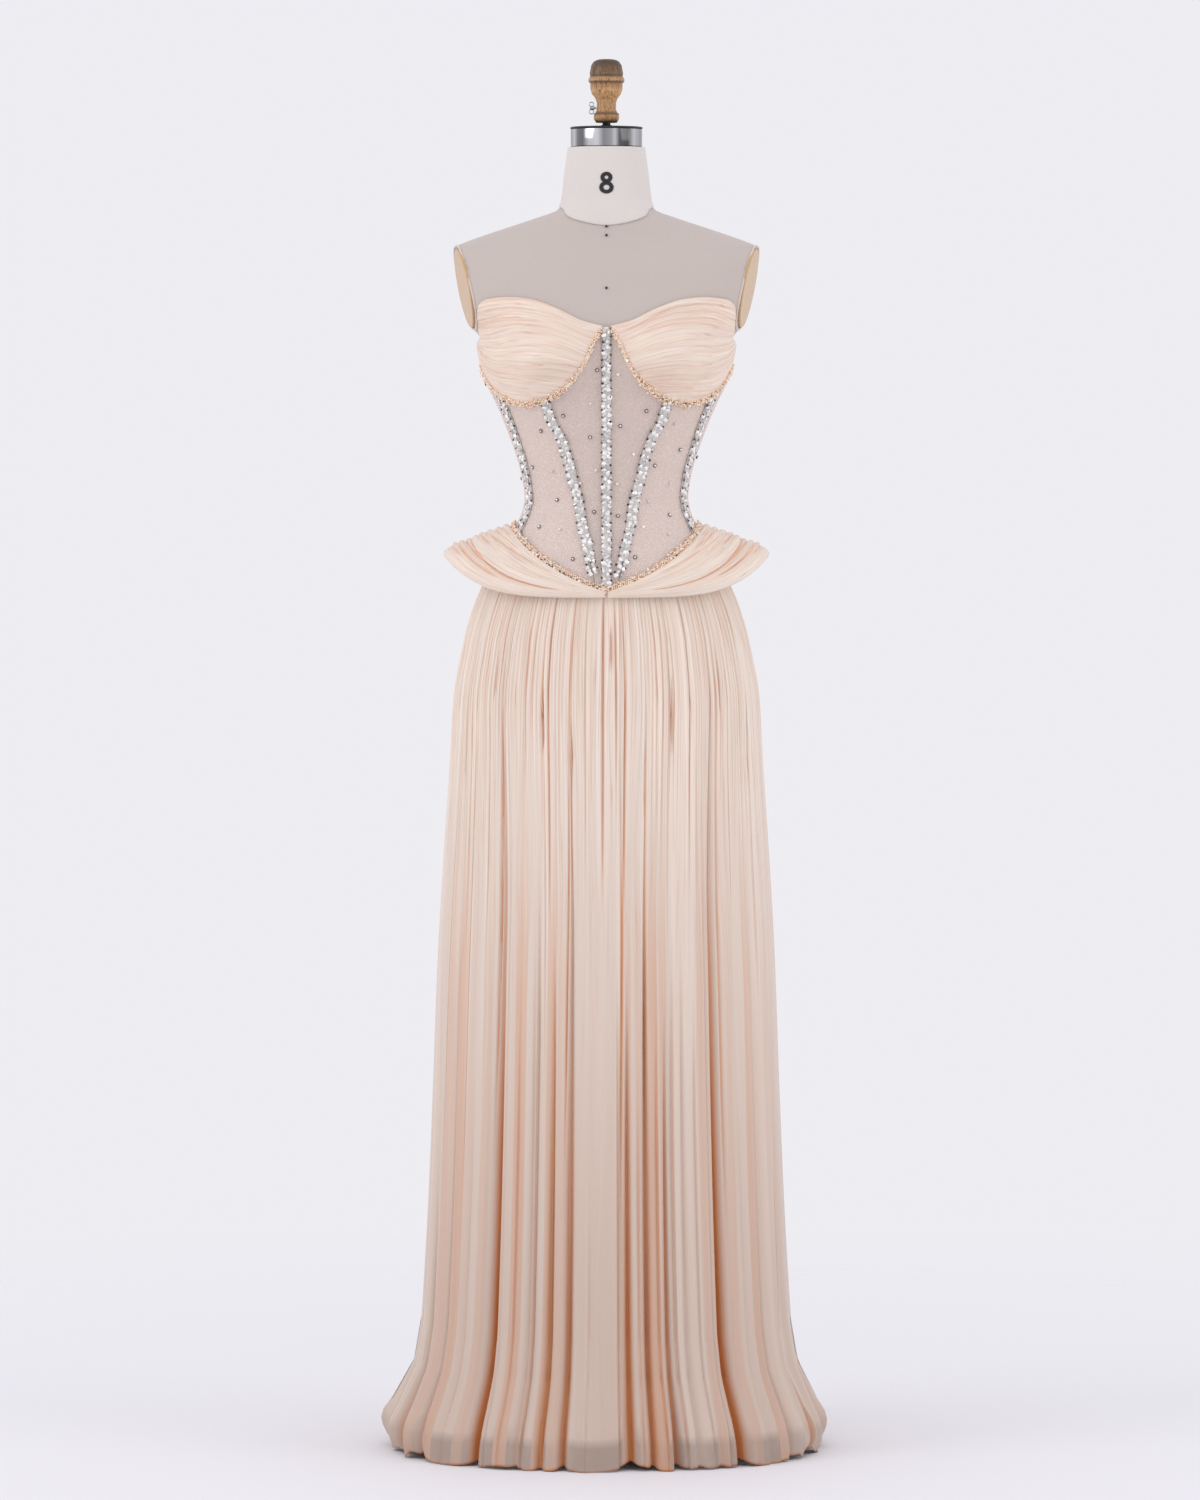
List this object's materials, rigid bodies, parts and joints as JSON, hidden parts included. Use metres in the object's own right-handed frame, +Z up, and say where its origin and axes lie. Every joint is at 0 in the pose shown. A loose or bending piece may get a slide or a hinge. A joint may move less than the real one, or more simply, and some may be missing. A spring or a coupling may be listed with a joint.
{
  "type": "evening dress on a limbless dress form",
  "caption": "Strapless floor-length evening dress with draped cups, a sheer boned corset, a hip peplum and a gathered skirt, on a limbless dress form on a stand.",
  "frame": {"origin": "middle of the underside of the stand's base, on the floor", "axes": "+Z up, the front faces -Y, +X is the wearer's left"},
  "size_m": [0.5443, 0.5059, 1.7356],
  "materials": {
    "draped_silk": "crinkled silk chiffon with a soft metallic sheen, champagne",
    "sheer_net": "sheer nude net",
    "beaded_strip": "net strip covered in clear and silver sequins",
    "skirt_chiffon": "sheer crinkled chiffon, champagne",
    "lining_satin": "plain smooth lining, nude",
    "zip_nylon": "concealed nylon zip, nude",
    "zip_metal": "plated, pale gold",
    "form_jersey": "fine knitted cover, nude",
    "form_canvas": "plain cotton canvas, off-white",
    "chromed_band": "polished",
    "black_plastic": "satin black",
    "turned_beech": "turned and oiled",
    "arm_plate_board": "cloth-faced board",
    "stand_steel": "dark satin"
  },
  "bodies": {
    "dress_and_form": {"cup_left": "draped_silk", "cup_right": "draped_silk", "back_band_left": "draped_silk", "back_band_right": "draped_silk", "peplum_left": "draped_silk", "peplum_right": "draped_silk", "net_front_left": "sheer_net", "net_front_right": "sheer_net", "net_side_front_left": "sheer_net", "net_side_front_right": "sheer_net", "net_side_left": "sheer_net", "net_side_right": "sheer_net", "net_back_left": "sheer_net", "net_back_right": "sheer_net", "bone_centre": "beaded_strip", "bone_front_left": "beaded_strip", "bone_front_right": "beaded_strip", "bone_side_left": "beaded_strip", "bone_side_right": "beaded_strip", "bone_side_back_left": "beaded_strip", "bone_side_back_right": "beaded_strip", "skirt_front": "skirt_chiffon", "skirt_back": "skirt_chiffon", "lining_front": "lining_satin", "lining_back": "lining_satin", "zip_strip": "zip_nylon", "zip_slider": "zip_metal", "form_torso": "form_jersey", "neck_cover": "form_canvas", "neck_band": "chromed_band", "neck_cap": "black_plastic", "finial_rod": "black_plastic", "finial": "turned_beech", "thumb_screw": "stand_steel", "arm_plate_left": "arm_plate_board", "arm_plate_right": "arm_plate_board", "stand_pole": "stand_steel", "stand_base": "stand_steel"},
    "zip_pull": {"zip_pull": "zip_metal"}
  },
  "joints": [
    {"name": "pull_swing", "type": "hinge", "parent": "dress_and_form", "child": "zip_pull", "pos_m": [0, 0.10963, 1.381], "axis": [1, 0, 0], "range_deg": [0, 165]}
  ]
}
